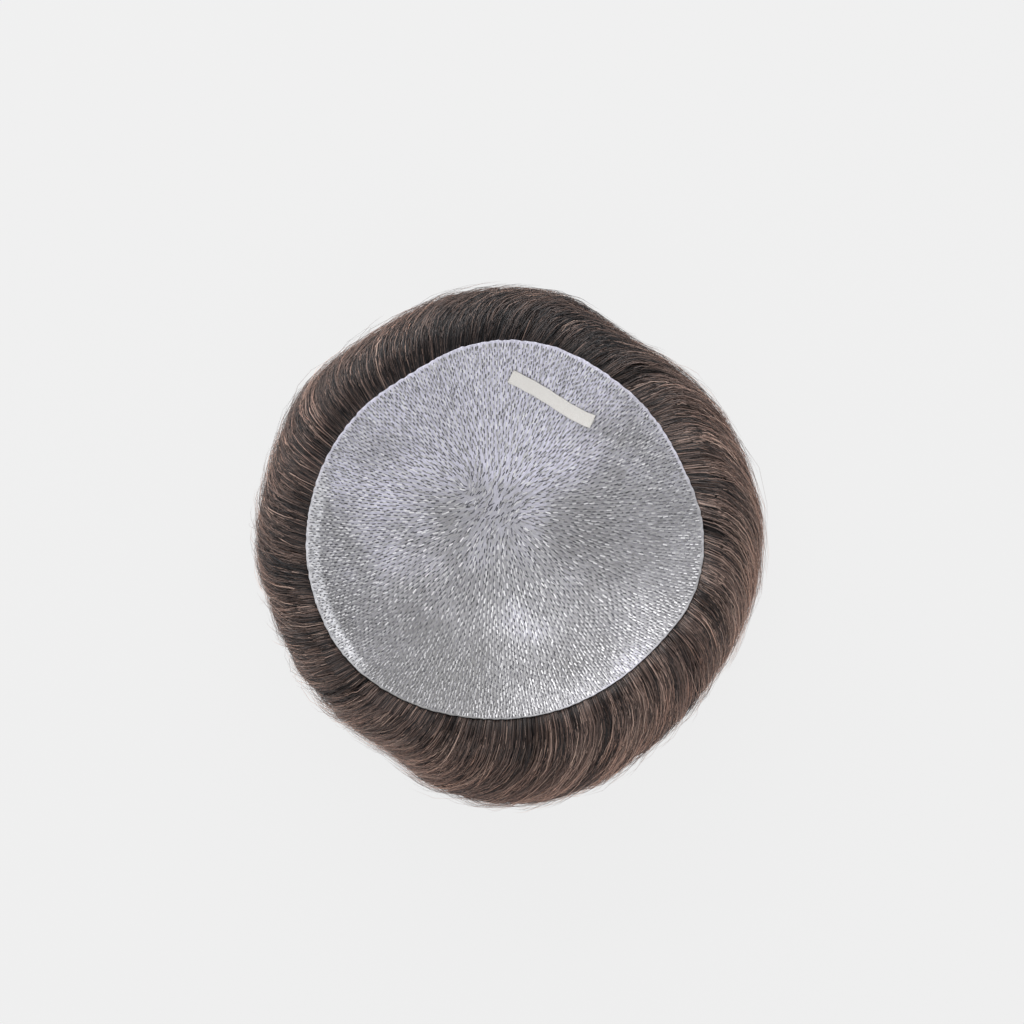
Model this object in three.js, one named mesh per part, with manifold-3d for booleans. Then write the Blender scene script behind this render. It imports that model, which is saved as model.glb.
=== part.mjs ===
// A toupee lying on its hair, the hollow of its base facing up.
// Millimetres, +Z up. The origin is the middle of the patch of hair that the piece rests on.
// Seen from above, angles turn anticlockwise from +X, and +Y is the back of the head.

import * as THREE from "three";
import { mergeVertices } from "three/addons/utils/BufferGeometryUtils.js";
import Module from "manifold-3d";

// Sizes of the base
const rimWidth = 159; // ear to ear
const rimLength = 157; // forehead to crown
const bowlDepth = 46;
const skinWall = 1;
const rimFlare = 0.3; // share of the bowl's rise that is left to its steep outer part

// Sizes of the hair
const hairUnderCrown = 20; // thickness between the table and the base
const hairOverhang = 28; // how far the hair stands out past the rim
const lipDrop = 2.4; // the hair starts this far below the rim
const lipWidth = 3; // flat top of the hair beside the rim
const restRadius = 58; // patch that lies on the table
const lockCount = 26; // in each row
const lockRelief = 3.6; // how far a lock stands out of the hair behind it
const swirl = 46; // degrees that the hair turns from the lip to the table
const swirlBend = 1.7; // over 1, it leaves the lip straight and turns more and more

// Sizes of the label
const labelLength = 38;
const labelWidth = 6.5;
const labelThickness = 1;
const labelAngle = 72; // where its middle lies
const labelShare = 0.8; // of the way from the crown to the rim
const labelTurn = -32; // its heading, seen from above

const clearance = 0.3; // between pieces that touch

// Fineness of the meshes
const sectors = 60;
const bowlRings = 10;
const hairRings = 17;
const lockColumns = 6; // across one lock
const labelSteps = 14;
const meshTolerance = 0.02; // vertices closer than this are merged

// The outline, a row every 20 degrees anticlockwise from +X. rim is a share of the half width
// and half length there, overhang a share of hairOverhang.
const outline = [
  { rim: 0.996, overhang: 0.86 },
  { rim: 0.952, overhang: 1.02 },
  { rim: 0.953, overhang: 0.98 },
  { rim: 0.967, overhang: 0.87 },
  { rim: 0.997, overhang: 1.06 },
  { rim: 0.989, overhang: 1.06 },
  { rim: 0.947, overhang: 1.05 },
  { rim: 0.96, overhang: 1.04 },
  { rim: 0.975, overhang: 0.87 },
  { rim: 0.996, overhang: 0.76 },
  { rim: 1.022, overhang: 0.59 },
  { rim: 1.046, overhang: 0.53 },
  { rim: 1.032, overhang: 0.54 },
  { rim: 1.006, overhang: 0.91 },
  { rim: 0.992, overhang: 0.99 },
  { rim: 0.978, overhang: 0.91 },
  { rim: 0.978, overhang: 0.81 },
  { rim: 1.009, overhang: 0.75 },
];

// The hair's section from the lip down to the table. out is a share of the overhang, up a share of
// the lip's height.
const hairSection = [
  { out: 0.13, up: 1.0 },
  { out: 0.38, up: 0.975 },
  { out: 0.64, up: 0.905 },
  { out: 0.84, up: 0.79 },
  { out: 0.97, up: 0.65 },
  { out: 1.0, up: 0.5 },
  { out: 0.9, up: 0.34 },
  { out: 0.66, up: 0.19 },
  { out: 0.26, up: 0.07 },
];

// Soft dents and swells of the base. reach is a share of the rim's radius, height is in millimetres.
const dents = [
  { angle: 8, share: 0.62, reach: 0.24, height: 1.6 },
  { angle: 318, share: 0.6, reach: 0.26, height: -1.3 },
  { angle: 255, share: 0.66, reach: 0.2, height: 1.2 },
  { angle: 198, share: 0.8, reach: 0.2, height: -1.4 },
  { angle: 95, share: 0.3, reach: 0.22, height: -1.1 },
];

// Rows of locks, top row first. offset is a share of the space between locks, from and to are shares
// of the way from the lip to the table, relief is a share of lockRelief.
const lockRows = [
  { offset: 0, from: 0, to: 0.66, relief: 1 },
  { offset: 0.5, from: 0.16, to: 0.94, relief: 0.9 },
];

const degrees = Math.PI / 180;
const bowlFoot = hairUnderCrown + clearance + skinWall;
const rimHeight = bowlFoot + bowlDepth;
const lipHeight = rimHeight - lipDrop;

// A column of a table that goes once round, at any angle, by a smooth curve through its rows.
function around(table, column, angle) {
  const step = (2 * Math.PI) / table.length;
  const place = (((angle / step) % table.length) + table.length) % table.length;
  const row = Math.floor(place);
  const t = place - row;
  const [a, b, c, d] = [-1, 0, 1, 2].map(
    (k) => table[(row + k + table.length) % table.length][column],
  );
  const bend = 2 * a - 5 * b + 4 * c - d;
  const twist = 3 * b - a - 3 * c + d;
  return b + 0.5 * t * (c - a + t * (bend + t * twist));
}

function rimRadius(angle) {
  const halfWidth = rimWidth / 2;
  const halfLength = rimLength / 2;
  const oval =
    (halfWidth * halfLength) /
    Math.hypot(halfLength * Math.cos(angle), halfWidth * Math.sin(angle));
  return oval * around(outline, "rim", angle);
}

function dentHeight(x, y) {
  let height = 0;
  for (const dent of dents) {
    const angle = dent.angle * degrees;
    const radius = rimRadius(angle);
    const away = Math.hypot(
      x - radius * dent.share * Math.cos(angle),
      y - radius * dent.share * Math.sin(angle),
    );
    height += dent.height * Math.exp(-((away / (dent.reach * radius)) ** 2));
  }
  return height;
}

// A point of the base's inner face.
function bowlPoint(share, angle) {
  const radius = rimRadius(angle) * share;
  const x = radius * Math.cos(angle);
  const y = radius * Math.sin(angle);
  const rise = (1 - rimFlare) * share ** 2 + rimFlare * share ** 4;
  const fade = 1 - share ** 6;
  return new THREE.Vector3(
    x,
    y,
    bowlFoot + bowlDepth * rise + dentHeight(x, y) * fade,
  );
}

// The inner face's normal, which points into the hollow.
function bowlNormal(share, angle) {
  const small = 1e-3;
  const out = bowlPoint(share + small, angle).sub(bowlPoint(share, angle));
  const turned = new THREE.Vector3(-Math.sin(angle), Math.cos(angle), 0);
  if (share > small) {
    turned
      .copy(bowlPoint(share, angle + small))
      .sub(bowlPoint(share, angle - small));
  }
  return out.cross(turned).normalize();
}

function bowlOffset(share, angle, distance) {
  return bowlPoint(share, angle).addScaledVector(
    bowlNormal(share, angle),
    distance,
  );
}

// One ring of points round the bowl.
function bowlRing(share, distance) {
  return Array.from({ length: sectors }, (_, k) =>
    bowlOffset(share, (2 * Math.PI * k) / sectors, distance),
  );
}

// The shares of the bowl's rings, crown to rim, without the crown itself.
const bowlShares = Array.from(
  { length: bowlRings },
  (_, k) => (k + 1) / bowlRings,
);

// A closed surface from a bottom point, through rings that run anticlockwise from above, to a top point.
function loft(bottom, rings, top) {
  const sides = rings[0].length;
  const points = [bottom, ...rings.flat(), top];
  const end = points.length - 1;
  const faces = [];
  const at = (ring, side) => 1 + ring * sides + (side % sides);
  for (let side = 0; side < sides; side += 1) {
    faces.push(0, at(0, side + 1), at(0, side));
    faces.push(end, at(rings.length - 1, side), at(rings.length - 1, side + 1));
    for (let ring = 0; ring + 1 < rings.length; ring += 1) {
      faces.push(at(ring, side), at(ring, side + 1), at(ring + 1, side));
      faces.push(at(ring + 1, side), at(ring, side + 1), at(ring + 1, side + 1));
    }
  }
  const geometry = new THREE.BufferGeometry().setFromPoints(points);
  geometry.setIndex(faces);
  return geometry;
}

// The base: a thin skin shaped as a shallow bowl.
function skinGeometry() {
  const inner = bowlShares.map((share) => bowlRing(share, 0));
  const outer = bowlShares.map((share) => bowlRing(share, -skinWall));
  return loft(
    bowlOffset(0, 0, -skinWall),
    [...outer, ...inner.reverse()],
    bowlOffset(0, 0, 0),
  );
}

// A spline down the hair's section at one angle: x is the radius, y the height.
function hairCurve(angle) {
  const start = rimRadius(angle);
  const overhang = hairOverhang * around(outline, "overhang", angle);
  const reach = overhang - lockRelief;
  const points = hairSection.map(
    ({ out, up }) =>
      new THREE.Vector3(start + Math.max(lipWidth, reach * out), lipHeight * up),
  );
  points.push(new THREE.Vector3(restRadius, 0, 0));
  return new THREE.CatmullRomCurve3(points, false, "centripetal");
}

// A point of the face behind the locks: along runs from 0 at the lip to 1 at the table.
function hairPoint(along, angle) {
  const { x: radius, y: height } = hairCurve(angle).getPoint(along);
  return new THREE.Vector3(
    radius * Math.cos(angle),
    radius * Math.sin(angle),
    height,
  );
}

function hairNormal(along, angle) {
  const small = 1e-3;
  const before = Math.max(0, along - small);
  const after = Math.min(1, along + small);
  const down = hairPoint(after, angle).sub(hairPoint(before, angle));
  const round = hairPoint(along, angle + small).sub(
    hairPoint(along, angle - small),
  );
  return down.cross(round).normalize();
}

// How far one row's locks stand out, at a share of the way down and at the angle where that hair has
// its root. A lock narrows to its tip, and every lock ends at a height of its own.
function lockHeight({ offset, from, to, relief }, along, rootAngle) {
  const place = (lockCount * rootAngle) / (2 * Math.PI) - offset;
  const lock = Math.round(place);
  const own = Math.sin(2.4 * (lock % lockCount));
  const t = (along - from) / (to + 0.05 * own - from);
  if (t < 0 || t > 1) {
    return 0;
  }
  const halfWidth = 0.56 * (1 - t ** 3);
  const across = (place - lock) / halfWidth;
  const rise = Math.sin(Math.PI * (0.12 + 0.86 * t)) ** 0.6;
  return lockRelief * relief * (0.9 + 0.1 * own) * rise * Math.max(0, 1 - across ** 2);
}

// The hair without its hollow: columns follow the locks as they turn clockwise on their way down.
function hairBody() {
  const columns = lockCount * lockColumns;
  const rings = [];
  for (let k = 0; k <= hairRings; k += 1) {
    const along = 1 - k / hairRings;
    rings.push(
      Array.from({ length: columns }, (_, column) => {
        const rootAngle = (2 * Math.PI * column) / columns;
        const angle = rootAngle - swirl * degrees * along ** swirlBend;
        const height = Math.max(...lockRows.map((row) => lockHeight(row, along, rootAngle)));
        const point = hairPoint(along, angle);
        point.addScaledVector(hairNormal(along, angle), height);
        return point.setZ(Math.max(0, point.z));
      }),
    );
  }
  return loft(
    new THREE.Vector3(0, 0, 0),
    rings,
    new THREE.Vector3(0, 0, lipHeight),
  );
}

// A strip that lies on the bowl's inner face.
function labelGeometry() {
  const angle = labelAngle * degrees;
  const middle = bowlPoint(labelShare, angle);
  const normal = bowlNormal(labelShare, angle);
  const heading = new THREE.Vector3(
    Math.cos(labelTurn * degrees),
    Math.sin(labelTurn * degrees),
    0,
  );
  const across = normal.clone().cross(heading).normalize();
  const along = across.clone().cross(normal).normalize();
  const onBowl = (a, b, lift) => {
    const flat = middle
      .clone()
      .addScaledVector(along, a)
      .addScaledVector(across, b);
    const turned = Math.atan2(flat.y, flat.x);
    const share = Math.hypot(flat.x, flat.y) / rimRadius(turned);
    return bowlOffset(share, turned, lift);
  };
  const corners = [
    [-0.5, clearance],
    [0, clearance],
    [0.5, clearance],
    [0.5, clearance + labelThickness],
    [0, clearance + labelThickness],
    [-0.5, clearance + labelThickness],
  ];
  const rings = [];
  for (let k = 0; k <= labelSteps; k += 1) {
    const a = labelLength * (k / labelSteps - 0.5);
    rings.push(corners.map(([b, lift]) => onBowl(a, b * labelWidth, lift)));
  }
  const endPoint = (a) => onBowl(a, 0, clearance + labelThickness / 2);
  return loft(endPoint(-labelLength / 2), rings, endPoint(labelLength / 2));
}

const manifold = await Module();
manifold.setup();

// A closed geometry as a solid that can be joined and cut.
function solid(geometry) {
  const bare = geometry.clone();
  bare.deleteAttribute("normal");
  bare.deleteAttribute("uv");
  const merged = mergeVertices(bare);
  return new manifold.Manifold(
    new manifold.Mesh({
      numProp: 3,
      vertProperties: merged.getAttribute("position").array,
      triVerts: new Uint32Array(merged.getIndex().array),
    }),
  );
}

function geometryOf(body) {
  const { vertProperties, triVerts } = body.getMesh();
  const geometry = new THREE.BufferGeometry();
  geometry.setAttribute(
    "position",
    new THREE.BufferAttribute(vertProperties, 3),
  );
  geometry.setIndex(new THREE.BufferAttribute(triVerts, 1));
  return geometry;
}

// The room that the base and its hollow take out of the hair.
function hollowSolid() {
  const distance = -(skinWall + clearance);
  const rings = bowlShares.map((share) => bowlRing(share, distance));
  const top = rings[rings.length - 1].map((point) =>
    point.clone().setZ(rimHeight + bowlDepth),
  );
  return solid(
    loft(
      bowlOffset(0, 0, distance),
      [...rings, top],
      new THREE.Vector3(0, 0, rimHeight + bowlDepth),
    ),
  );
}

function hairGeometry() {
  const hair = solid(hairBody()).subtract(hollowSolid());
  return geometryOf(hair.simplify(meshTolerance));
}

function piece(name, geometry, colour, roughness) {
  const material = new THREE.MeshStandardMaterial({
    color: colour,
    roughness,
    metalness: 0,
  });
  geometry.computeVertexNormals();
  const mesh = new THREE.Mesh(geometry, material);
  mesh.name = name;
  return mesh;
}

const toupee = new THREE.Group();
toupee.add(
  piece("base_skin", skinGeometry(), 0xa9a9b0, 0.35),
  piece("hair", hairGeometry(), 0x45382f, 0.55),
  piece("label_tape", labelGeometry(), 0xded9d2, 0.8),
);

export default toupee;
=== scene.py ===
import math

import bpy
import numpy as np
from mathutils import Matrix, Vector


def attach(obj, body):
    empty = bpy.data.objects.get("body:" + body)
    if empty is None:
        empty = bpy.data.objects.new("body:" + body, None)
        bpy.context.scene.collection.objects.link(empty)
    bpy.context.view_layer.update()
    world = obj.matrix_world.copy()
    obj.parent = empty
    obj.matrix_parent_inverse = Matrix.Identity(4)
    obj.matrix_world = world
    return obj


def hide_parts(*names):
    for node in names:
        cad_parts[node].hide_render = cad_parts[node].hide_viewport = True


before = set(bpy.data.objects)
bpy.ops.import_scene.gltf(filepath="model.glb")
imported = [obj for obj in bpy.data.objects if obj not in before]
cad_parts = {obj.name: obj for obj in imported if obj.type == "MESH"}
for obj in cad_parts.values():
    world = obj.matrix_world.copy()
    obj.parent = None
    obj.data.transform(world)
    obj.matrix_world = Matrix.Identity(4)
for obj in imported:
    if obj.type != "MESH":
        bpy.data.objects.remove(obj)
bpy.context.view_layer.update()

# A toupee that lies on its hair, dressed over its solids: a film base with its knotted loops, a
# bare woven tape, and hair in layers of strands. Metres, +Z up. Seen from above, angles turn
# anticlockwise from +X, and +Y is the back of the head.

random = np.random.default_rng(41)
MM = 0.001
DEGREE = math.pi / 180

# Sizes that the solids have too
RIM_WIDTH = 159 * MM
RIM_LENGTH = 157 * MM
BOWL_DEPTH = 46 * MM
RIM_FLARE = 0.3
HAIR_UNDER_CROWN = 20 * MM
SOLID_SKIN = 1 * MM
CLEARANCE = 0.3 * MM
HAIR_OVERHANG = 28 * MM
LIP_DROP = 2.4 * MM
LIP_WIDTH = 3 * MM
REST_RADIUS = 58 * MM
LOCK_COUNT = 26
LOCK_RELIEF = 3.6 * MM
SWIRL = 46 * DEGREE
SWIRL_BEND = 1.7
BOWL_FOOT = HAIR_UNDER_CROWN + CLEARANCE + SOLID_SKIN
RIM_HEIGHT = BOWL_FOOT + BOWL_DEPTH
LIP_HEIGHT = RIM_HEIGHT - LIP_DROP

# The outline, a row every 20 degrees: the rim as a share of its oval, the overhang of HAIR_OVERHANG
RIM_SHARES = (0.996, 0.952, 0.953, 0.967, 0.997, 0.989, 0.947, 0.96, 0.975,
              0.996, 1.022, 1.046, 1.032, 1.006, 0.992, 0.978, 0.978, 1.009)
OVERHANG_SHARES = (0.86, 1.02, 0.98, 0.87, 1.06, 1.06, 1.05, 1.04, 0.87,
                   0.76, 0.59, 0.53, 0.54, 0.91, 0.99, 0.91, 0.81, 0.75)

# The hair's section from the lip to the table: out as a share of the overhang, and up as a share
# of the lip's height
HAIR_SECTION = ((0.13, 1.0), (0.38, 0.975), (0.64, 0.905), (0.84, 0.79), (0.97, 0.65),
                (1.0, 0.5), (0.9, 0.34), (0.66, 0.19), (0.26, 0.07))

# Dents and swells of the base: angle, share of the rim, reach as a share of it, height
DENTS = ((8, 0.62, 0.24, 1.6 * MM), (318, 0.6, 0.26, -1.3 * MM), (255, 0.66, 0.2, 1.2 * MM),
         (198, 0.8, 0.2, -1.4 * MM), (95, 0.3, 0.22, -1.1 * MM))

# Where the knots' rows centre, as x and y, and the way in which the knots lie there
WHORL = (-5.2 * MM, 21 * MM)
WHORL_TURN = 56 * DEGREE

# The ways in which painted light makes the base lighter, towards the back of the head and, as a
# painted sheen, towards the front right: a direction, and the reaches from dark to light
FRONT_RIGHT = (0.72, -0.69, 0)
PAINTED_LIGHT_WAYS = (((0, 1, 0), -75 * MM, 60 * MM), (FRONT_RIGHT, 33 * MM, 118 * MM))

# The white band along the left of the base, a painted highlight: the centre of its arc, the radii
# over which it sets in, the ones over which it dims to a share at the rim, the direction of its
# middle and the reaches that way over which its two ends fade
BAND_CENTRE = (-3 * MM, -5 * MM)
BAND_RADII = (70.4 * MM, 72.4 * MM)
BAND_EDGE = (74.2 * MM, 76.6 * MM)
BAND_RIM_SHARE = 0.3
BAND_TOWARDS = (-0.982, -0.191, 0)
BAND_ENDS = (63.5 * MM, 69.5 * MM)

# The dull places, where the knots hardly show: x, y and reach
CALM_PLACES = ((-30 * MM, -53 * MM, 36 * MM), (66 * MM, -2 * MM, 30 * MM))

# Broad spots of the base that are duller or lighter: x, y, reach, shift along its row of tones
TONE_SPOTS = ((60 * MM, 25 * MM, 50 * MM, -0.2), (-30 * MM, -53 * MM, 36 * MM, -0.24),
              (4 * MM, -26 * MM, 26 * MM, 0.2), (-48 * MM, 8 * MM, 36 * MM, 0.13),
              (27 * MM, 5 * MM, 26 * MM, -0.22), (1 * MM, 20 * MM, 20 * MM, -0.12))

# Rows of locks: offset, from, to, relief
LOCK_ROWS = ((0, 0, 0.66, 1), (0.5, 0.16, 0.94, 0.9))

# The strands, a row every 30 degrees of their roots: how far they turn, as a share of the locks'
# turn, and how much of that is at an even rate, which slants them from the rim on
TURN_SHARES = (0.85, 1.4, 1.6, 1.65, 1.8, 1.5, 1.1, 0.65, 0.6, 0.95, 1.0, 0.5)
LEAN_SHARES = (0.3, 0.14, 0.2, 0.17, 0.1, 0.1, 0.2, 0.3, 0.15, 0.0, 0.05, 0.35)
STRAND_BEND = 2

# How light the hair is, a row every 45 degrees, as a shift along its row of tones
TONE_SHIFTS = (0.18, 0.0, -0.28, -0.12, -0.06, 0.05, 0.11, 0.1)


def around(values, angle):
    """A list that goes once round, at any angle, by a smooth curve through its values."""
    table = np.asarray(values, float)
    place = (angle / (2 * np.pi) * len(table)) % len(table)
    row = np.floor(place).astype(int)
    t = place - row
    a, b, c, d = (table[(row + k) % len(table)] for k in (-1, 0, 1, 2))
    bend = 2 * a - 5 * b + 4 * c - d
    twist = 3 * b - a - 3 * c + d
    return b + 0.5 * t * (c - a + t * (bend + t * twist))


def together(*parts):
    """Numbers side by side, such as x, y and z, as points along a last axis."""
    return np.stack(np.broadcast_arrays(*parts), -1)


def around_centre(radius, angle, height):
    return together(radius * np.cos(angle), radius * np.sin(angle), height)


def unit(vectors):
    return vectors / np.maximum(np.linalg.norm(vectors, axis=-1, keepdims=True), 1e-12)


def smooth_step(low, high, value):
    t = np.clip((value - low) / (high - low), 0, 1)
    return t * t * (3 - 2 * t)


# The base's form


def rim_radius(angle):
    half_width, half_length = RIM_WIDTH / 2, RIM_LENGTH / 2
    oval = half_width * half_length / np.hypot(
        half_length * np.cos(angle), half_width * np.sin(angle)
    )
    return oval * around(RIM_SHARES, angle)


def dent_height(x, y):
    height = np.zeros_like(x)
    for turned, share, reach, rise in DENTS:
        angle = np.float64(turned * DEGREE)
        radius = rim_radius(angle)
        away = np.hypot(x - radius * share * np.cos(angle), y - radius * share * np.sin(angle))
        height += rise * np.exp(-((away / (reach * radius)) ** 2))
    return height


def bowl_point(share, angle):
    """A point of the base's inner face."""
    radius = rim_radius(angle) * share
    x, y = radius * np.cos(angle), radius * np.sin(angle)
    rise = (1 - RIM_FLARE) * share**2 + RIM_FLARE * share**4
    z = BOWL_FOOT + BOWL_DEPTH * rise + dent_height(x, y) * (1 - share**6)
    return together(x, y, z)


def bowl_normal(share, angle):
    """The inner face's normal, which points into the hollow."""
    small = 1e-3
    middle = share < 2 * small
    share = np.maximum(share, 2 * small)
    out = bowl_point(share + small, angle) - bowl_point(share - small, angle)
    turned = bowl_point(share, angle + small) - bowl_point(share, angle - small)
    normal = unit(np.cross(out, turned))
    return np.where(middle[..., None], (0.0, 0.0, 1.0), normal)


def bowl_offset(share, angle, distance):
    share, angle, distance = np.broadcast_arrays(share, angle, distance)
    return bowl_point(share, angle) + bowl_normal(share, angle) * distance[..., None]


def on_bowl(x, y, distance):
    """The inner face over a point of the plan, lifted by a distance."""
    angle = np.arctan2(y, x)
    return bowl_offset(np.hypot(x, y) / rim_radius(angle), angle, distance)


# The hair's form

FACE_ANGLES = 720
FACE_STEPS = 200  # from the lip to the table
UNDER_STEPS = 60  # from there to the middle of the underside
UNDER_REACH = 0.98  # how much of the way in they go


def section_points(angle):
    """The knots of the hair's section, radius and height, at each angle."""
    start = rim_radius(angle)
    reach = HAIR_OVERHANG * around(OVERHANG_SHARES, angle) - LOCK_RELIEF
    knots = [
        together(start + np.maximum(LIP_WIDTH, reach * out), LIP_HEIGHT * up)
        for out, up in HAIR_SECTION
    ]
    knots.append(together(REST_RADIUS, np.zeros_like(start)))
    first = 2 * knots[0] - knots[1]
    last = 2 * knots[-1] - knots[-2]
    return [first, *knots, last]


def section_curves():
    """Radius and height over angles and steps, by a centripetal spline through the knots."""
    angle = np.arange(FACE_ANGLES) * 2 * np.pi / FACE_ANGLES
    knots = section_points(angle)
    spans = len(knots) - 3
    rows = []
    for step in range(FACE_STEPS + 1):
        place = step / FACE_STEPS * spans
        span = min(int(place), spans - 1)
        t = place - span
        p0, p1, p2, p3 = knots[span : span + 4]
        d0, d1, d2 = (
            np.sqrt(np.linalg.norm(b - a, axis=-1, keepdims=True))
            for a, b in ((p0, p1), (p1, p2), (p2, p3))
        )
        t1 = ((p1 - p0) / d0 - (p2 - p0) / (d0 + d1) + (p2 - p1) / d1) * d1
        t2 = ((p2 - p1) / d1 - (p3 - p1) / (d1 + d2) + (p3 - p2) / d2) * d1
        rows.append(
            p1 + t * t1 + t**2 * (3 * (p2 - p1) - 2 * t1 - t2) + t**3 * (2 * (p1 - p2) + t1 + t2)
        )
    for step in range(1, UNDER_STEPS + 1):
        rows.append(rows[FACE_STEPS] * (1 - UNDER_REACH * step / UNDER_STEPS))
    return np.stack(rows)


SECTIONS = section_curves()


def hair_point(along, angle):
    """A point of the face behind the locks: along is 0 at the lip, 1 at the table, more below."""
    along, angle = np.broadcast_arrays(along, angle)
    column = (angle / (2 * np.pi) * FACE_ANGLES) % FACE_ANGLES
    row = np.clip(along * FACE_STEPS, 0, FACE_STEPS + UNDER_STEPS - 1e-6)
    c, r = np.floor(column).astype(int), np.floor(row).astype(int)
    s, t = (column - c)[..., None], (row - r)[..., None]
    c, c_next = c % FACE_ANGLES, (c + 1) % FACE_ANGLES
    radius, height = np.moveaxis(
        (1 - t) * ((1 - s) * SECTIONS[r, c] + s * SECTIONS[r, c_next])
        + t * ((1 - s) * SECTIONS[r + 1, c] + s * SECTIONS[r + 1, c_next]),
        -1,
        0,
    )
    return around_centre(radius, angle, height)


def hair_normal(along, angle):
    small = 0.01
    down = hair_point(along + small, angle) - hair_point(np.maximum(along - small, 0), angle)
    turned = hair_point(along, angle + small) - hair_point(along, angle - small)
    return unit(np.cross(down, turned))


def lock_height(along, root_angle):
    """How far the locks stand out, at a share of the way down and the angle of that hair's root."""
    height = np.zeros(np.broadcast(along, root_angle).shape)
    for offset, first, last, relief in LOCK_ROWS:
        place = LOCK_COUNT * root_angle / (2 * np.pi) - offset
        lock = np.round(place)
        own = np.sin(2.4 * (lock % LOCK_COUNT))
        t = (along - first) / (last + 0.05 * own - first)
        inside = (t >= 0) & (t <= 1)
        t = np.clip(t, 0, 1)
        across = (place - lock) / (0.56 * (1 - t**3) + 1e-6)
        rise = np.sin(np.pi * (0.12 + 0.86 * t)) ** 0.6
        stands = LOCK_RELIEF * relief * (0.9 + 0.1 * own) * rise * np.maximum(0, 1 - across**2)
        height = np.maximum(height, np.where(inside, stands, 0))
    return height


def turn_at(along):
    return SWIRL * np.clip(along, 0, 1.3) ** SWIRL_BEND


def strand_turn(along, root):
    """How far a strand has turned, at a share of the way down, before its own share of the turn."""
    lean = around(LEAN_SHARES, root)
    return SWIRL * around(TURN_SHARES, root) * (lean * along + (1 - lean) * along**STRAND_BEND)


# Meshes from arrays


def mesh_piece(name, points, faces, uvs, material):
    """An object from points, lists of triangles or quads, and their corners' UVs in that order."""
    mesh = bpy.data.meshes.new(name)
    corners = np.concatenate([part.ravel() for part in faces]).astype(np.int32)
    sides = np.concatenate([np.full(len(part), part.shape[1]) for part in faces])
    starts = np.concatenate([[0], np.cumsum(sides)[:-1]]).astype(np.int32)
    mesh.vertices.add(len(points))
    mesh.vertices.foreach_set("co", np.asarray(points, np.float32).ravel())
    mesh.loops.add(len(corners))
    mesh.loops.foreach_set("vertex_index", corners)
    mesh.polygons.add(len(starts))
    mesh.polygons.foreach_set("loop_start", starts)
    mesh.update(calc_edges=True)
    flat = np.concatenate([part.reshape(-1, 2) for part in uvs]).astype(np.float32).ravel()
    for layer_name in ("Pattern", "OFBake"):
        layer = mesh.uv_layers.new(name=layer_name)
        layer.data.foreach_set("uv", flat)
    mesh.shade_smooth()
    mesh.materials.append(material)
    piece = bpy.data.objects.new(name, mesh)
    bpy.context.scene.collection.objects.link(piece)
    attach(piece, "root")
    return piece


def shell_faces(rings, sides):
    """Quads between rings of points, and two fans: the point before the rings and the one after."""
    ring, side = np.meshgrid(np.arange(rings - 1), np.arange(sides), indexing="ij")

    def at(row, column):
        return 1 + row * sides + column % sides

    quads = np.stack(
        [at(ring, side), at(ring, side + 1), at(ring + 1, side + 1), at(ring + 1, side)], -1
    ).reshape(-1, 4)
    k = np.arange(sides)
    last = 1 + rings * sides
    start_fan = np.stack([np.zeros(sides, int), at(0, k + 1), at(0, k)], -1)
    end_fan = np.stack([np.full(sides, last), at(rings - 1, k), at(rings - 1, k + 1)], -1)
    return quads, start_fan, end_fan


# Materials


def srgb(*values):
    """A colour from its 0 to 255 display values, as the shader's linear numbers."""
    linear = [v / 255 / 12.92 if v <= 10 else ((v / 255 + 0.055) / 1.055) ** 2.4 for v in values]
    return (*linear, 1.0)


def tint(*shares):
    """A colour to multiply by."""
    return (*shares, 1.0)


# From the darkest tone to the lightest, as places along a row of tones
HAIR_TONES = ((0.0, srgb(26, 25, 27)), (0.2, srgb(50, 44, 43)), (0.5, srgb(92, 77, 71)),
              (0.75, srgb(128, 107, 98)), (0.92, srgb(162, 134, 121)), (1.0, srgb(192, 165, 150)))
# the backing's tones are darker than the strands': the hair's own dark colour with painted shade in
# the gaps
BACKING_SHADE_TONES = ((0.3, srgb(16, 14, 14)), (0.55, srgb(34, 28, 27)), (0.75, srgb(62, 50, 46)))
# the film's lighter tones come where light and sheen are painted, towards the back and the front
# right
FILM_TONES = ((0.05, srgb(118, 117, 117)), (0.5, srgb(159, 158, 161)), (0.9, srgb(214, 212, 226)))
DARK_KNOT_TONES = ((0.0, srgb(56, 56, 60)), (0.4, srgb(86, 86, 92)),
                   (0.75, srgb(120, 119, 126)), (1.0, srgb(156, 155, 160)))
# The pale knots are ridges of the film in its own grey; their lightest tones are a painted sparkle
PALE_KNOT_TONES = ((0.0, srgb(126, 125, 125)), (0.5, srgb(173, 172, 173)),
                   (1.0, srgb(236, 235, 236)))

# What a strand's tone is multiplied by from its root to its tip: darker at the root, a painted
# shade, and lighter and warmer at the tip, partly the hair's bleached colour and partly painted
# backlight. And what the film's tone is multiplied by for its fine streaks
ROOT_SHADE_TIP_LIGHT_TINTS = ((0.0, tint(0.45, 0.46, 0.47)), (0.26, tint(0.66, 0.66, 0.67)),
             (0.5, tint(1, 1, 1)), (0.85, tint(1.66, 1.44, 1.34)))
STREAK_TINTS = ((0.32, tint(0.74, 0.74, 0.75)), (0.68, tint(1.16, 1.16, 1.16)))

FILM_PAINTED_HIGHLIGHT = srgb(218, 218, 221)  # the white band, a painted highlight
FILM_MOTTLE = 34  # the broad noise's scale
FILM_WAVER = 1.2  # how far that noise shifts the film's tones
STREAK_RATE = 420  # the streaks' noise per metre away from the whorl
STREAK_TURN = 62  # and per radian round it

THREAD = srgb(254, 252, 247)
THREAD_SHADED = srgb(246, 243, 237)
THREAD_GAP = srgb(206, 201, 195)
THREADS = (22, 120, 1)  # across the tape and along it
HAIR_STREAKS = (900, 5, 1)  # the backing's streaks across the flow and along it


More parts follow.
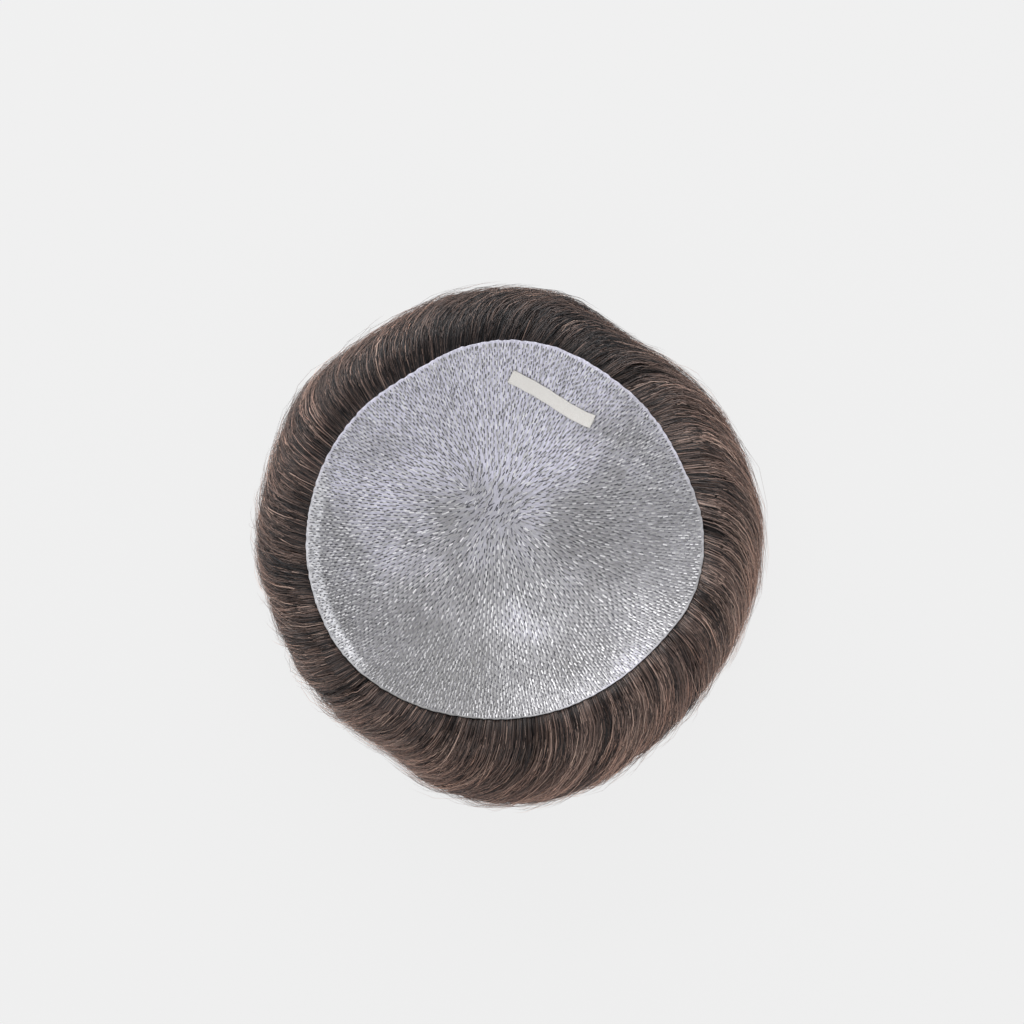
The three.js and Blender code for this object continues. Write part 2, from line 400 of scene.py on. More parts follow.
def material_with(name, roughness, specular, coat=0.0, coat_roughness=0.1):
    material = bpy.data.materials.new(name)
    material.use_nodes = True
    shader = material.node_tree.nodes["Principled BSDF"]
    shader.inputs["Roughness"].default_value = roughness
    shader.inputs["Specular IOR Level"].default_value = specular
    shader.inputs["Coat Weight"].default_value = coat
    shader.inputs["Coat Roughness"].default_value = coat_roughness
    return material, material.node_tree, shader


def feed(tree, node, inputs):
    """Links a node's inputs to the sockets given for them, or sets them to the values."""
    for key, value in inputs.items():
        if isinstance(value, bpy.types.NodeSocket):
            tree.links.new(value, node.inputs[key])
        else:
            node.inputs[key].default_value = value


def add_node(tree, kind, inputs):
    node = tree.nodes.new(kind)
    feed(tree, node, inputs)
    return node.outputs


def on_numbers(tree, operation, *inputs, clamped=False):
    node = tree.nodes.new("ShaderNodeMath")
    node.operation = operation
    node.use_clamp = clamped
    feed(tree, node, dict(enumerate(inputs)))
    return node.outputs["Value"]


def on_vectors(tree, operation, *inputs):
    node = tree.nodes.new("ShaderNodeVectorMath")
    node.operation = operation
    feed(tree, node, dict(enumerate(inputs)))
    return node.outputs["Value" if operation in ("LENGTH", "DOT_PRODUCT") else "Vector"]


def in_range(tree, value, start, end, low=0, high=1, kind="LINEAR"):
    """low where the value is at start, high where it is at end, and never beyond them."""
    node = tree.nodes.new("ShaderNodeMapRange")
    node.interpolation_type = kind
    ends = {"From Min": start, "From Max": end, "To Min": low, "To Max": high}
    feed(tree, node, {"Value": value, **ends})
    return node.outputs["Result"]


def in_tones(tree, value, stops):
    node = tree.nodes.new("ShaderNodeValToRGB")
    elements = node.color_ramp.elements
    while len(elements) < len(stops):
        elements.new(0.5)
    for element, (place, colour) in zip(elements, stops):
        element.position = place
        element.color = colour
    feed(tree, node, {"Fac": value})
    return node.outputs["Color"]


def mixed(tree, factor, first, second, kind="MIX"):
    node = tree.nodes.new("ShaderNodeMix")
    node.data_type = "RGBA"
    node.blend_type = kind
    feed(tree, node, {"Factor": factor, "A": first, "B": second})
    return node.outputs["Result"]


def noise_over(tree, place, scale, detail):
    inputs = {"Vector": place, "Scale": scale, "Detail": detail}
    return add_node(tree, "ShaderNodeTexNoise", inputs)["Fac"]


def pattern_map(tree):
    node = tree.nodes.new("ShaderNodeUVMap")
    node.uv_map = "Pattern"
    return node.outputs["UV"]


def pattern_scaled(tree, scale):
    inputs = {"Vector": pattern_map(tree), "Scale": scale}
    return add_node(tree, "ShaderNodeMapping", inputs)["Vector"]


def add_bump(tree, shader, height, strength, distance):
    inputs = {"Height": height, "Strength": strength, "Distance": distance}
    feed(tree, shader, {"Normal": add_node(tree, "ShaderNodeBump", inputs)["Normal"]})


def hair_material(name, brightness, specular):
    """Strands: the Pattern map's u picks the tone, and v runs from root to tip, darkened at the
    root by painted shade and lightened at the tip partly by painted backlight.
    """
    material, tree, shader = material_with(name, roughness=0.36, specular=specular)
    pattern = add_node(tree, "ShaderNodeSeparateXYZ", {"Vector": pattern_map(tree)})
    stops = [
        (place, tint(*(brightness * part for part in colour[:3]))) for place, colour in HAIR_TONES
    ]
    tone = in_tones(tree, pattern["X"], stops)
    # painted shade at the root; at the tip, the hair's bleached colour with painted backlight
    tip = in_tones(tree, pattern["Y"], ROOT_SHADE_TIP_LIGHT_TINTS)
    feed(tree, shader, {"Base Color": mixed(tree, 1, tone, tip, "MULTIPLY")})
    return material


def backing_material():
    """The dark hair behind the strands, darker than they are as painted shade in the gaps between
    them: streaks that run with the flow, from the Pattern map.
    """
    material, tree, shader = material_with("hair_backing", roughness=0.6, specular=0.3)
    streaks = noise_over(tree, pattern_scaled(tree, HAIR_STREAKS), 1, 3)
    feed(tree, shader, {"Base Color": in_tones(tree, streaks, BACKING_SHADE_TONES)})
    add_bump(tree, shader, streaks, 0.6, 0.4 * MM)
    return material


def level_from(tree, place, x, y, scale=1.0):
    """The way from a point of the plan to each place, seen from above and scaled."""
    return on_vectors(tree, "MULTIPLY_ADD", place, (scale, scale, 0), (-x * scale, -y * scale, 0))


def slope_along(tree, place, towards, start, end):
    """0 at the first reach in a direction, 1 at the second."""
    return in_range(tree, on_vectors(tree, "DOT_PRODUCT", place, towards), start, end)


def film_shade(tree, place, mottle):
    """0 to 1: it grows towards the lighter places of the film, where light and sheen are painted
    towards the back and the front right, shifts with the tone spots and wavers with the mottle.
    """
    tone = on_numbers(tree, "MAXIMUM", *(slope_along(tree, place, *way) for way in PAINTED_LIGHT_WAYS))
    for spot_x, spot_y, reach, shift in TONE_SPOTS:
        away = on_vectors(tree, "LENGTH", level_from(tree, place, spot_x, spot_y, 1 / reach))
        tone = on_numbers(tree, "ADD", tone, in_range(tree, away, 0, 1, shift, 0, "SMOOTHSTEP"))
    waver = on_numbers(tree, "MULTIPLY_ADD", mottle, FILM_WAVER, -0.5 * FILM_WAVER)
    return on_numbers(tree, "ADD", tone, waver, clamped=True)


def highlight_band_share(tree, place):
    """1 in the white band of painted highlight at the base's left, 0 away from it."""
    away = on_vectors(tree, "LENGTH", level_from(tree, place, *BAND_CENTRE))
    ends = slope_along(tree, place, BAND_TOWARDS, *BAND_ENDS)
    share = on_numbers(tree, "MULTIPLY", in_range(tree, away, *BAND_RADII), ends)
    return on_numbers(tree, "MULTIPLY", share, in_range(tree, away, *BAND_EDGE, 1, BAND_RIM_SHARE))


def whorl_place(tree, place):
    """Places that stretch away from the whorl, so that noise over them runs in streaks from it."""
    away = level_from(tree, place, *WHORL)
    reach = on_numbers(tree, "MULTIPLY", on_vectors(tree, "LENGTH", away), STREAK_RATE)
    rise = add_node(tree, "ShaderNodeCombineXYZ", {"Z": reach})["Vector"]
    bearing = on_vectors(tree, "NORMALIZE", away)
    return on_vectors(tree, "MULTIPLY_ADD", bearing, (STREAK_TURN,) * 3, rise)


def film_material():
    """The base: a pale grey-lilac film, mottled by the hair that shows through it. Its lighter back
    and front right are painted light and sheen, and its white band at the left is a painted
    highlight.
    """
    material, tree, shader = material_with("skin_film", roughness=0.5, specular=0.35)
    place = add_node(tree, "ShaderNodeTexCoord", {})["Object"]
    broad = noise_over(tree, place, FILM_MOTTLE, 4)
    fine = noise_over(tree, whorl_place(tree, place), 1, 2)
    tone = in_tones(tree, film_shade(tree, place, broad), FILM_TONES)
    highlighted = mixed(tree, highlight_band_share(tree, place), tone, FILM_PAINTED_HIGHLIGHT)
    streaks = in_tones(tree, fine, STREAK_TINTS)
    feed(tree, shader, {"Base Color": mixed(tree, 1, highlighted, streaks, "MULTIPLY")})
    add_bump(tree, shader, fine, 0.35, 0.15 * MM)
    return material


def knot_material(name, stops, roughness):
    """Hair knots in the film, with a wet gloss. The Pattern map's u picks the tone."""
    material, tree, shader = material_with(
        name, roughness=roughness, specular=0.5, coat=0.15, coat_roughness=0.12
    )
    pattern = add_node(tree, "ShaderNodeSeparateXYZ", {"Vector": pattern_map(tree)})
    feed(tree, shader, {"Coat IOR": 1.9, "Base Color": in_tones(tree, pattern["X"], stops)})
    return material


def tape_material():
    """Cream woven tape: the Pattern map is in threads, u across and v along."""
    material, tree, shader = material_with("woven_tape", roughness=0.85, specular=0.3)
    weave = add_node(tree, "ShaderNodeTexBrick", {
        "Vector": pattern_scaled(tree, THREADS), "Scale": 1, "Mortar Size": 0.12, "Brick Width": 1,
        "Row Height": 1, "Color1": THREAD, "Color2": THREAD_SHADED, "Mortar": THREAD_GAP,
    })["Color"]
    feed(tree, shader, {"Sheen Weight": 0.2, "Base Color": weave})
    add_bump(tree, shader, weave, 0.5, 0.1 * MM)
    return material


# The film base

FILM = 0.5 * MM
SKIN_SIDES = 360
SKIN_RINGS = 56
BACK_RINGS = 8
RIM_JAGS = 0.12 * MM
RIM_START = 0.96  # the share of the rim beyond which the film thins out and the jags set in
RIM_THINNING = 0.6
PLAN_HALF = 0.55 * RIM_WIDTH  # half the side of a plan view in the UV square
FRONT_VIEW = (0.42, 0.4)  # the inner face's place there: its centre and its half side
BACK_VIEW = (0.91, 0.07)  # and the outer face's


def plan_uv(points, centre, half):
    """A plan view of the points in the UV square, round a centre."""
    return centre + points[:, :2] * (half / PLAN_HALF)


def build_skin():
    angle = np.arange(SKIN_SIDES) * 2 * np.pi / SKIN_SIDES
    jags = random.normal(0, RIM_JAGS, SKIN_SIDES)
    jags = np.clip(jags, -2 * RIM_JAGS, 1.5 * RIM_JAGS)

    def ring(share, distance):
        edge = smooth_step(RIM_START, 1.0, share)
        jagged = share + jags / rim_radius(angle) * edge
        return bowl_offset(jagged, angle, distance * (1 - RIM_THINNING * edge))

    inner_shares = (np.arange(SKIN_RINGS) + 1) / SKIN_RINGS
    back_shares = (np.arange(BACK_RINGS) + 1) / BACK_RINGS
    middle = np.zeros(1)
    points = np.concatenate(
        [bowl_offset(middle, middle, -FILM)]
        + [ring(share, -FILM) for share in back_shares]
        + [ring(share, 0.0) for share in inner_shares[::-1]]
        + [bowl_offset(middle, middle, 0.0)]
    )
    quads, start_fan, end_fan = shell_faces(SKIN_RINGS + BACK_RINGS, SKIN_SIDES)
    faces = [start_fan, quads, end_fan]
    front = plan_uv(points, *FRONT_VIEW)
    back = plan_uv(points, *BACK_VIEW)
    back_count = 1 + BACK_RINGS * SKIN_SIDES
    uvs = []
    for part in faces:
        behind = (part < back_count).all(axis=1)[:, None, None]
        uvs.append(np.where(behind, back[part], front[part]))
    return mesh_piece("skin_base", points, faces, uvs, film_material())


skin = build_skin()
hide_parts("base_skin")

# The knots in the film

ROW_SPACING = 1.56 * MM
# The rows that start with a new number of knots
ROW_BANDS = (1, 3, 5, 9, 15, 23, 31, 39, 47, 55, 63, 71, 80)
ROW_FULLNESS = 0.88  # how many of the knots that have room in a row are in it
BAND_SHIFT = 0.8  # how far each band of rows is turned, in radians
CALM_ROWS = 7  # how many rows it takes from the whorl until they lie evenly
SCATTER = (0.08, 0.5)  # how far one strays along its row, in spaces, and its growth at the whorl
STRAY = (0.12 * MM, 0.6 * MM)  # and across it
KNOT_SPACING = 2.42 * MM
KNOT_SIDES = 4
KNOT_BODY = 0.32  # where its two rings are, as a share of a knot's length from its middle
KNOT_SINK = 0.03 * MM  # how deep its ends lie
KNOT_LIFT = 0.1 * MM  # how much higher the tilting ones are
KNOT_SEARCH = 0.997  # knots start within this share of the rim
KNOT_LIMIT = 0.985  # and the outermost ones move in to this
KNOT_SIZES = (0.75, 1.15)  # the range of their lengths and widths
KNOT_HEIGHTS = (0.6, 1.2)  # and of their heights
WHORL_REACH = 14 * MM  # how far from it the knots still lie the whorl's way
WHORL_PULL = 1.2  # how strongly they do at its centre
KNOT_SWAY = (0.11, 0.16)  # how far their bearings differ, in radians, and its growth at the whorl
FRONT_REACHES = (30 * MM, 70 * MM)  # where they grow longer towards the front
FRONT_GROWTH = 0.3  # and by how much
LEAN_REACHES = (0.35, 0.95)  # the shares of the rim over which the tilting ones lean more
LEAN = (4 * DEGREE, 8 * DEGREE)  # at the centre, and what the rim adds
LEAN_SPREAD = 4 * DEGREE
SHEEN_REACHES = (34 * MM, 66 * MM)  # where a painted sheen makes them lighter towards the front right
CALM_CORE = 0.45  # the share of a dull place that is wholly dull
DIMMING = 0.5  # how much of a dull spot's shift they take
KNOT_TONES = 32
CELL_REACH = 0.008  # how far a knot spreads from the middle of its tone in the Pattern map
ASIDE = 0.16 * MM


def knot_places():
    """Brick rows round the whorl, evenly spaced along the film: each knot's x, y and bearing."""
    rays = np.linspace(0, 2 * np.pi, 361)[:-1]
    reach = np.arange(0, 110 * MM, 0.5 * MM)
    x = WHORL[0] + reach[:, None] * np.cos(rays)
    y = WHORL[1] + reach[:, None] * np.sin(rays)
    points = on_bowl(x, y, np.zeros_like(x))
    steps = np.linalg.norm(np.diff(points, axis=0), axis=-1)
    gone = np.concatenate([np.zeros((1, len(rays))), np.cumsum(steps, axis=0)])
    found = []
    for row in range(1, ROW_BANDS[-1]):
        distance = row * ROW_SPACING
        out = np.array([np.interp(distance, gone[:, k], reach) for k in range(len(rays))])
        band = sum(row >= start for start in ROW_BANDS)
        middle = (ROW_BANDS[band - 1] + ROW_BANDS[band]) / 2
        count = int(round(2 * np.pi * middle * ROW_SPACING / KNOT_SPACING * ROW_FULLNESS))
        bearing = (np.arange(count) + 0.5 * (row % 2)) * 2 * np.pi / count
        bearing = bearing + BAND_SHIFT * band
        uneven = math.exp(-row / CALM_ROWS)
        scatter = (SCATTER[0] + SCATTER[1] * uneven) * 2 * np.pi / count
        bearing = bearing + random.normal(0, scatter, count)
        away = np.interp(bearing % (2 * np.pi), rays, out, period=2 * np.pi)
        away = away + random.normal(0, STRAY[0] + STRAY[1] * uneven, count)
        knot_x, knot_y = WHORL[0] + away * np.cos(bearing), WHORL[1] + away * np.sin(bearing)
        found.append(together(knot_x, knot_y, bearing))
    return np.concatenate(found)


def rim_share(x, y):
    return np.hypot(x, y) / rim_radius(np.arctan2(y, x))


def knot_tone(x, y, tones, gain, sheen, calm, gleam):
    """Places along the row of tones.

    tones is a beta draw. gain is painted light and shade: it lightens the knots towards the back of
    the head and darkens them towards the front. sheen lightens the ones at the front right, a
    painted sheen, and the ones in the white band, a painted highlight. calm is the shift of the
    ones in the dull places, and gleam is how much of a light spot's shift they take, which paints a
    sparkle there.
    """
    front_right = smooth_step(*SHEEN_REACHES, FRONT_RIGHT[0] * x + FRONT_RIGHT[1] * y)
    band = smooth_step(*BAND_RADII, np.hypot(x - BAND_CENTRE[0], y - BAND_CENTRE[1]))
    band = band * smooth_step(*BAND_ENDS, BAND_TOWARDS[0] * x + BAND_TOWARDS[1] * y)
    dull = sum(
        1 - smooth_step(CALM_CORE, 1, np.hypot(x - spot_x, y - spot_y) / reach)
        for spot_x, spot_y, reach in CALM_PLACES
    )
    tone = random.beta(*tones, len(x)) + gain * (y / RIM_LENGTH)
    tone = tone + sheen * (front_right + band) + calm * dull
    for spot_x, spot_y, reach, shift in TONE_SPOTS:
        near = 1 - smooth_step(0, 1, np.hypot(x - spot_x, y - spot_y) / reach)
        tone = tone + (gleam if shift > 0 else DIMMING) * shift * near
    return tone


def build_knots(
    name, places, material, shift, aside, length, width, height, tilting=False, **tone_rules
):
    """Low spindles on the film, all shifted alike from their places, along their bearing and aside.

    Tilting ones have a flat top that lies nearer to level than the film does, and more so near the
    rim. tone_rules go to knot_tone.
    """
    x, y, bearing = places.T
    x = x + shift * np.cos(bearing) - aside * np.sin(bearing)
    y = y + shift * np.sin(bearing) + aside * np.cos(bearing)
    kept = rim_share(x, y) < KNOT_SEARCH
    x, y, bearing = x[kept], y[kept], bearing[kept]
    inward = np.minimum(1, KNOT_LIMIT / rim_share(x, y))
    x, y = x * inward, y * inward
    count = len(x)

    near = np.exp(-((np.hypot(x - WHORL[0], y - WHORL[1]) / WHORL_REACH) ** 2))
    own_way, whorl_way = np.exp(2j * bearing), np.exp(2j * WHORL_TURN)
    bearing = 0.5 * np.angle((1 - near) * own_way + WHORL_PULL * near * whorl_way)
    outward = x * np.cos(bearing) + y * np.sin(bearing)
    sway = random.normal(0, 1, count) * (KNOT_SWAY[0] + KNOT_SWAY[1] * near)
    bearing = bearing + np.pi * (outward < 0) + sway
    small = 0.2 * MM
    centre = on_bowl(x, y, 0.0)
    heading = unit(on_bowl(x + small * np.cos(bearing), y + small * np.sin(bearing), 0.0) - centre)
    share = rim_share(x, y)
    normal = bowl_normal(share, np.arctan2(y, x))
    side = unit(np.cross(normal, heading))

    growth = 1 + FRONT_GROWTH * smooth_step(*FRONT_REACHES, -y)
    long = length * random.uniform(*KNOT_SIZES, count) * growth
    wide = width * random.uniform(*KNOT_SIZES, count)
    high = height * random.uniform(*KNOT_HEIGHTS, count)
    lean = LEAN[0] + LEAN[1] * smooth_step(*LEAN_REACHES, share)
    tilt = tilting * (lean + random.normal(0, LEAN_SPREAD, count))
    turn = (np.arange(KNOT_SIDES) + 0.5 * tilting) * 2 * np.pi / KNOT_SIDES
    rings = [
        centre[:, None]
        + heading[:, None] * (stand * long)[:, None, None]
        + side[:, None] * (0.5 * wide)[:, None, None] * np.cos(turn)[None, :, None]
        + normal[:, None] * (high[:, None] * np.sin(turn)[None, :])[..., None]
        + normal[:, None] * (KNOT_LIFT * tilting - stand * long * np.tan(tilt))[:, None, None]
        for stand in (-KNOT_BODY, KNOT_BODY)
    ]
    start = centre - heading * (0.5 * long)[:, None] - normal * KNOT_SINK
    end = centre + heading * (0.5 * long)[:, None] - normal * KNOT_SINK
    points = np.concatenate([start[:, None], *rings, end[:, None]], axis=1)
    parts = shell_faces(2, KNOT_SIDES)
    first = (np.arange(count) * points.shape[1])[:, None, None]
    faces = [(part[None] + first).reshape(-1, part.shape[1]) for part in parts]

    tone = np.clip(knot_tone(x, y, **tone_rules), 0, 1)
    cell = (np.round(tone * (KNOT_TONES - 1)) + 0.5) / KNOT_TONES
    across = np.linspace(-1, 1, KNOT_SIDES)
    u_corner = np.array([0.0, *across, *across, 0.0]) * CELL_REACH
    v_corner = np.array([0.1, *[0.4] * KNOT_SIDES, *[0.6] * KNOT_SIDES, 0.9])
    uvs = [together(cell[:, None, None] + u_corner[part], v_corner[part]) for part in parts]
    piece = mesh_piece(name, points.reshape(-1, 3), faces, uvs, material)
    if tilting:
        piece.data.shade_flat()


knots = knot_places()
build_knots(
    "knots_dark", knots, knot_material("knot_dark", DARK_KNOT_TONES, 0.4),
    shift=0, aside=-ASIDE, length=2.5 * MM, width=0.5 * MM, height=0.14 * MM,
    tones=(1.7, 2.2), gain=0.42, sheen=0, calm=0.34, gleam=-0.8,
)
build_knots(
    "knots_pale", knots, knot_material("knot_pale", PALE_KNOT_TONES, 0.42), tilting=True,
    shift=ROW_SPACING, aside=ASIDE, length=2.9 * MM, width=0.72 * MM, height=0.15 * MM,
    tones=(2, 2), gain=0.3, sheen=0.23, calm=-0.2, gleam=1.9,
)

# The bare tape

LABEL_LENGTH = 38 * MM
LABEL_WIDTH = 6.5 * MM
LABEL_ANGLE = 72 * DEGREE
LABEL_SHARE = 0.8
LABEL_TURN = -32 * DEGREE
TAPE_LIFT = 0.45 * MM
TAPE_THICK = 0.35 * MM
TAPE_STEPS = 90
TAPE_ACROSS = 14
TAPE_FRAY = 0.12 * MM
TAPE_SAG = 0.9 * MM  # how far it bends aside along its length
TAPE_RIPPLE = 0.12 * MM
RIPPLE_RATES = (900, 300)  # radians per metre along it and across
TAPE_CURL = 0.1 * MM  # how much higher its long edges are


def build_label():
    angle, share = np.float64(LABEL_ANGLE), np.float64(LABEL_SHARE)
    middle = bowl_point(share, angle)
    normal = bowl_normal(np.asarray([share]), np.asarray([angle]))[0]
    heading = np.array([math.cos(LABEL_TURN), math.sin(LABEL_TURN), 0.0])
    across = unit(np.cross(normal, heading))
    along = unit(np.cross(across, normal))
    a = np.linspace(-0.5, 0.5, TAPE_STEPS + 1) * LABEL_LENGTH
    b = np.linspace(-0.5, 0.5, TAPE_ACROSS + 1) * LABEL_WIDTH
    fray = random.normal(0, TAPE_FRAY, TAPE_ACROSS + 1)
    rings = []
    for k, place in enumerate(a):
        end = (k == 0) * -1 + (k == TAPE_STEPS) * 1
        shift = place + end * np.abs(fray)
        sag = TAPE_SAG * np.sin(place / LABEL_LENGTH * 5.4 + 2.6)
        spot = middle + along * shift[:, None] + across * (b + sag)[:, None]
        ripple = TAPE_RIPPLE * np.sin(place * RIPPLE_RATES[0] + b * RIPPLE_RATES[1])
        ripple = ripple + TAPE_CURL * (2 * b / LABEL_WIDTH) ** 2
        low = on_bowl(spot[:, 0], spot[:, 1], TAPE_LIFT + ripple)
        high = on_bowl(spot[:, 0], spot[:, 1], TAPE_LIFT + TAPE_THICK + ripple)
        rings.append(np.concatenate([low, high[::-1]]))
    start, finish = rings[0].mean(0), rings[-1].mean(0)
    points = np.concatenate([start[None], *rings, finish[None]])
    sides = 2 * (TAPE_ACROSS + 1)
    faces = shell_faces(TAPE_STEPS + 1, sides)
    u_ring = [np.linspace(*ends, TAPE_ACROSS + 1) for ends in ((0.02, 0.48), (0.98, 0.52))]
    u = np.tile(np.concatenate(u_ring), TAPE_STEPS + 1)
    v = np.repeat(np.linspace(0.02, 0.98, TAPE_STEPS + 1), sides)
    uv = np.concatenate([[[0.5, 0.01]], together(u, v), [[0.5, 0.99]]])
    uvs = [uv[part] for part in faces]
    return mesh_piece("tape_strip", points, faces, uvs, tape_material())


tape = build_label()
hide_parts("label_tape")

# The hair behind the strands

BACKING_COLUMNS = 208
BACKING_RINGS = 46
BACKING_INNER = 14
BACKING_SINK = 2.0 * MM
BACKING_GAP = 1.8 * MM
BACKING_REACH = 1.25  # how far it goes, where the way from the lip to the table is 1
BACKING_FOOT = 0.5 * MM


def build_backing():
    root_angle = np.arange(BACKING_COLUMNS) * 2 * np.pi / BACKING_COLUMNS
    rings, v_values = [], []
    for k in range(BACKING_RINGS):
        along = np.full(BACKING_COLUMNS, BACKING_REACH - BACKING_REACH * k / (BACKING_RINGS - 1))
        angle = root_angle - turn_at(along)
        height = lock_height(along, root_angle) - BACKING_SINK
        point = hair_point(along, angle) + hair_normal(along, angle) * height[:, None]
        point[:, 2] = np.maximum(point[:, 2], BACKING_FOOT)
        rings.append(point)
        v_values.append(0.02 + 0.9 * k / BACKING_RINGS)
    for k in range(BACKING_INNER):
        share = 0.985 - k / BACKING_INNER
        rings.append(bowl_offset(share, root_angle, -FILM - BACKING_GAP))
        v_values.append(0.93 + 0.06 * k / BACKING_INNER)
    first = np.array([[0, 0, BACKING_FOOT]])
    last = bowl_offset(np.zeros(1), np.zeros(1), -FILM - BACKING_GAP)
    points = np.concatenate([first, *rings, last])
    count = len(rings)
    faces = shell_faces(count, BACKING_COLUMNS)
    column = np.arange(BACKING_COLUMNS + 1) / BACKING_COLUMNS
    uvs = []
    v_all = np.array([0.01, *np.repeat(v_values, BACKING_COLUMNS), 0.995])
    for part in faces:
        index = (part - 1) % BACKING_COLUMNS
        u = column[index]
        wraps = (index == 0) & (index.max(axis=1, keepdims=True) == BACKING_COLUMNS - 1)
        u = np.where(wraps, 1.0, u)
        tip = (part == 0) | (part == len(points) - 1)
        u = np.where(tip, np.where(tip, 0, u).sum(axis=1, keepdims=True) + u[:, 1:2], u)
        uvs.append(together(u, v_all[part]))
    return mesh_piece("hair_backing", points, faces, uvs, backing_material())


backing = build_backing()
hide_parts("hair")

# The strands

STRAND_SIDES = 3
TONES = 48
ROOT_STEPS = (0, 0, 0.07, 0.19, 0.34, 0.52, 0.7, 0.86, 1)  # the first two are the root in the rim
THICK = (0.10 * MM, 0.17 * MM)
THICKER = (0.13 * MM, 0.2 * MM)
FINE = (0.05 * MM, 0.09 * MM)
LIP_FILL = 2.2 * MM  # how much further out rooted strands lie at the lip
LIP_FILL_END = 0.4  # and where that ends
ROOT_SHARE = 0.99  # the share of the rim where they come out of the film
LOCK_SHARE = 0.8  # how much of the locks' relief the strands follow
TOP_ROUND = 0.4 * MM  # how softly they bend away under the rim's height
TABLE_GAP = 0.25 * MM
SHORTEST = 0.12  # of the way from the lip to the table
TIP_SCATTER = 0.06  # of that way too
WAVE_HEIGHT = 0.25 * MM
WAVES = 1.3  # on one strand
TIP_THIN = 0.72  # the share of its thickness that a strand loses
TONE_SPREAD = 0.28  # how far a strand's tone strays from its clump's


def strand_faces(rings):
    """Triangles of one strand: its tube, the point at its tip and the cap at its root."""

    def at(row, column):
        return row * STRAND_SIDES + column % STRAND_SIDES

    faces = []
    for ring in range(rings - 1):
        for side in range(STRAND_SIDES):
            faces.append((at(ring, side), at(ring, side + 1), at(ring + 1, side + 1)))
            faces.append((at(ring, side), at(ring + 1, side + 1), at(ring + 1, side)))
    tip = rings * STRAND_SIDES
    for side in range(STRAND_SIDES):
        faces.append((at(rings - 1, side), at(rings - 1, side + 1), tip))
    faces.append((2, 1, 0))
    return np.array(faces)


def strand_mesh(name, paths, normals, radii, tones, material):
    """Tapered tubes along paths (n, rings + 1, 3), whose last point is the tip."""
    count, rings = len(paths), paths.shape[1] - 1
    tangents = unit(np.gradient(paths, axis=1))
    side = unit(np.cross(tangents, normals))
    lift = np.cross(side, tangents)
    turn = np.arange(STRAND_SIDES) * 2 * np.pi / STRAND_SIDES
    body = (
        paths[:, :-1, None]
        + side[:, :-1, None] * (np.cos(turn)[None, None, :, None] * radii[:, :-1, None, None])
        - lift[:, :-1, None] * (np.sin(turn)[None, None, :, None] * radii[:, :-1, None, None])
    )
    points = np.concatenate([body.reshape(count, -1, 3), paths[:, -1:]], axis=1)
    template = strand_faces(rings)
    shift = (np.arange(count) * points.shape[1])[:, None, None]
    faces = (template[None] + shift).reshape(-1, 3)
    cell = (np.clip(np.round(tones * (TONES - 1)), 0, TONES - 1) + 0.5) / TONES
    across = np.array([*np.tile([-0.3, 0.0, 0.3], rings), 0.0]) / TONES
    along = np.array([*np.repeat(np.linspace(0.02, 0.9, rings), STRAND_SIDES), 0.98])
    u = cell[:, None, None] + across[template][None]
    uv = together(u, along[template])
    return mesh_piece(name, points.reshape(-1, 3), [faces], [uv], material)


def taper(count, thick, t):
    return random.uniform(*thick, count)[:, None] * (1 - TIP_THIN * t**2.5)[None]


